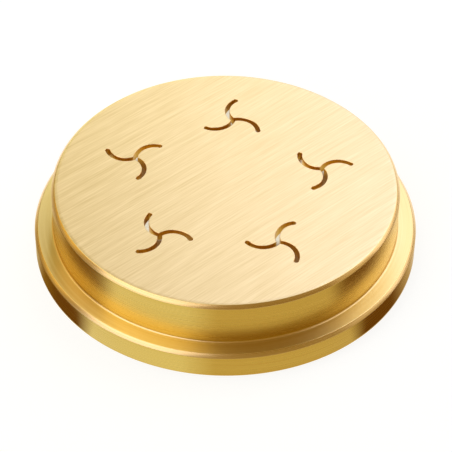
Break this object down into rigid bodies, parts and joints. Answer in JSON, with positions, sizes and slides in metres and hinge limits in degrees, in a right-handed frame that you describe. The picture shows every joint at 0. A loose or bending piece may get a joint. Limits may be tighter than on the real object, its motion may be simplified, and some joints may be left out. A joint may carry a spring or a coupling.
{
  "type": "pasta extrusion die",
  "caption": "Round turned brass die with a clamping flange and a raised boss, cut through with swirl slots that shape dough into twisted short pasta.",
  "frame": {"origin": "centre of the flange's underside", "axes": "+Z along the die's axis, out of the outlet face; -Y towards the viewer of the reference view"},
  "size_m": [0.06, 0.06, 0.0115],
  "materials": {
    "brass": "brushed outlet face, satin turned flange and walls"
  },
  "bodies": {
    "root": {"die": "brass"}
  },
  "joints": []
}
